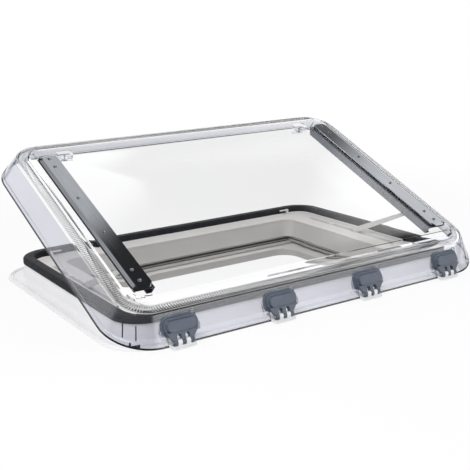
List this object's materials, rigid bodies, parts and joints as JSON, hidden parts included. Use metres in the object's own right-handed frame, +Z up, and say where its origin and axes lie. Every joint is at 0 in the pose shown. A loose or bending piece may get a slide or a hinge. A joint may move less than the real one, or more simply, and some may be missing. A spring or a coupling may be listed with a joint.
{
  "type": "rv skylight",
  "caption": "Hinged panoramic roof window with a clear double-pane dome, stay arms, latches, sealed frame, pleated blind and insect screen.",
  "frame": {"origin": "centre of the roof's cut-out, on the outside of the roof", "axes": "+X along the hinges, +Y from the hinges to the back edge, +Z up out of the roof"},
  "size_m": [1.0758, 0.781, 0.4131],
  "materials": {
    "white_frame": "moulded, light gloss",
    "white_bracket": "moulded, satin",
    "grey_frame": "moulded, fine texture",
    "pale_clip": "moulded, satin",
    "black_rubber": "extruded rubber",
    "clear_acrylic": "clear, polished",
    "clear_plastic": "clear moulded, slightly cloudy",
    "blue_grey_cover": "moulded, satin",
    "dark_rail": "anodised, satin",
    "dark_channel": "anodised, satin",
    "dark_screws": "blackened",
    "arm_paint": "painted, satin",
    "glide_nylon": "nylon",
    "shaded_plastic": "moulded, satin",
    "pull_bar_grey": "satin",
    "blind_cloth": "pleated blackout cloth",
    "screen_mesh": "pleated insect mesh",
    "steel": "zinc plated"
  },
  "bodies": {
    "root": {"arm_bracket_left": "steel", "arm_bracket_right": "steel", "arm_bracket_screws": "steel", "arm_pins": "steel", "blind_cassette": "shaded_plastic", "blind_pleats": "blind_cloth", "catch_left": "grey_frame", "catch_right": "grey_frame", "ceiling_frame": "grey_frame", "clamp_claws": "steel", "clamp_screws": "steel", "frame_seal": "black_rubber", "groove_clip_left": "pale_clip", "groove_clip_right": "pale_clip", "hinge_bracket_1": "white_bracket", "hinge_bracket_2": "white_bracket", "hinge_bracket_3": "white_bracket", "hinge_bracket_4": "white_bracket", "hinge_bracket_screws": "steel", "hinge_pins": "steel", "inner_frame": "grey_frame", "outer_frame": "white_frame", "screen_cassette": "shaded_plastic", "screen_pleats": "screen_mesh", "track_left": "shaded_plastic", "track_right": "shaded_plastic", "trim_caps": "grey_frame", "trim_screws": "steel"},
    "dome": {"dome_inner_pane": "clear_acrylic", "dome_outer_pane": "clear_acrylic", "hinge_backing_plates": "steel", "hinge_cover_1": "blue_grey_cover", "hinge_cover_2": "blue_grey_cover", "hinge_cover_3": "blue_grey_cover", "hinge_cover_4": "blue_grey_cover", "hinge_cover_screws": "steel", "latch_base_left": "clear_plastic", "latch_base_right": "clear_plastic", "latch_screws": "steel", "pane_tape_left": "black_rubber", "pane_tape_right": "black_rubber", "rail_channel_left": "dark_channel", "rail_channel_right": "dark_channel", "rail_gasket_left": "black_rubber", "rail_gasket_right": "black_rubber", "rail_nuts": "steel", "rail_plate_left": "dark_rail", "rail_plate_right": "dark_rail", "rail_screws": "dark_screws"},
    "latch_left": {"latch_lever_left": "clear_plastic"},
    "latch_right": {"latch_lever_right": "clear_plastic"},
    "arm_left": {"arm_left": "arm_paint"},
    "arm_right": {"arm_right": "arm_paint"},
    "glide_left": {"glide_left": "glide_nylon"},
    "glide_right": {"glide_right": "glide_nylon"},
    "blind": {"blind_pull_bar": "pull_bar_grey"},
    "screen": {"screen_pull_bar": "pull_bar_grey"}
  },
  "joints": [
    {"name": "dome_hinge", "type": "hinge", "parent": "root", "child": "dome", "pos_m": [0, -0.402, 0.016], "axis": [1, 0, 0], "range_deg": [-23.1, 0]},
    {"name": "arm_left_pivot", "type": "hinge", "parent": "root", "child": "arm_left", "pos_m": [-0.426, 0.012, 0.036], "axis": [1, 0, 0], "range_deg": [0, 18.5]},
    {"name": "glide_left_pivot", "type": "hinge", "parent": "arm_left", "child": "glide_left", "pos_m": [-0.413, -0.22333, 0.13678], "axis": [1, 0, 0], "range_deg": [-41.6, 0]},
    {"name": "latch_left_turn", "type": "hinge", "parent": "dome", "child": "latch_left", "pos_m": [-0.378, 0.20975, 0.31498], "axis": [0, -0.3923, 0.9198], "range_deg": [0, 90]},
    {"name": "arm_right_pivot", "type": "hinge", "parent": "root", "child": "arm_right", "pos_m": [0.426, 0.012, 0.036], "axis": [1, 0, 0], "range_deg": [0, 18.5]},
    {"name": "glide_right_pivot", "type": "hinge", "parent": "arm_right", "child": "glide_right", "pos_m": [0.413, -0.22333, 0.13678], "axis": [1, 0, 0], "range_deg": [-41.6, 0]},
    {"name": "latch_right_turn", "type": "hinge", "parent": "dome", "child": "latch_right", "pos_m": [0.378, 0.20975, 0.31498], "axis": [0, -0.3923, 0.9198], "range_deg": [-90, 0]},
    {"name": "blind_slide", "type": "slide", "parent": "root", "child": "blind", "axis": [0, 1, 0], "range_m": [0, 0.508]},
    {"name": "screen_slide", "type": "slide", "parent": "root", "child": "screen", "axis": [0, -1, 0], "range_m": [0, 0.508]}
  ],
  "couplings": [
    {"joint": "arm_left_pivot", "follows": "dome_hinge", "ratio": -0.79996},
    {"joint": "glide_left_pivot", "follows": "dome_hinge", "ratio": 1.8},
    {"joint": "arm_right_pivot", "follows": "dome_hinge", "ratio": -0.79996},
    {"joint": "glide_right_pivot", "follows": "dome_hinge", "ratio": 1.8}
  ]
}
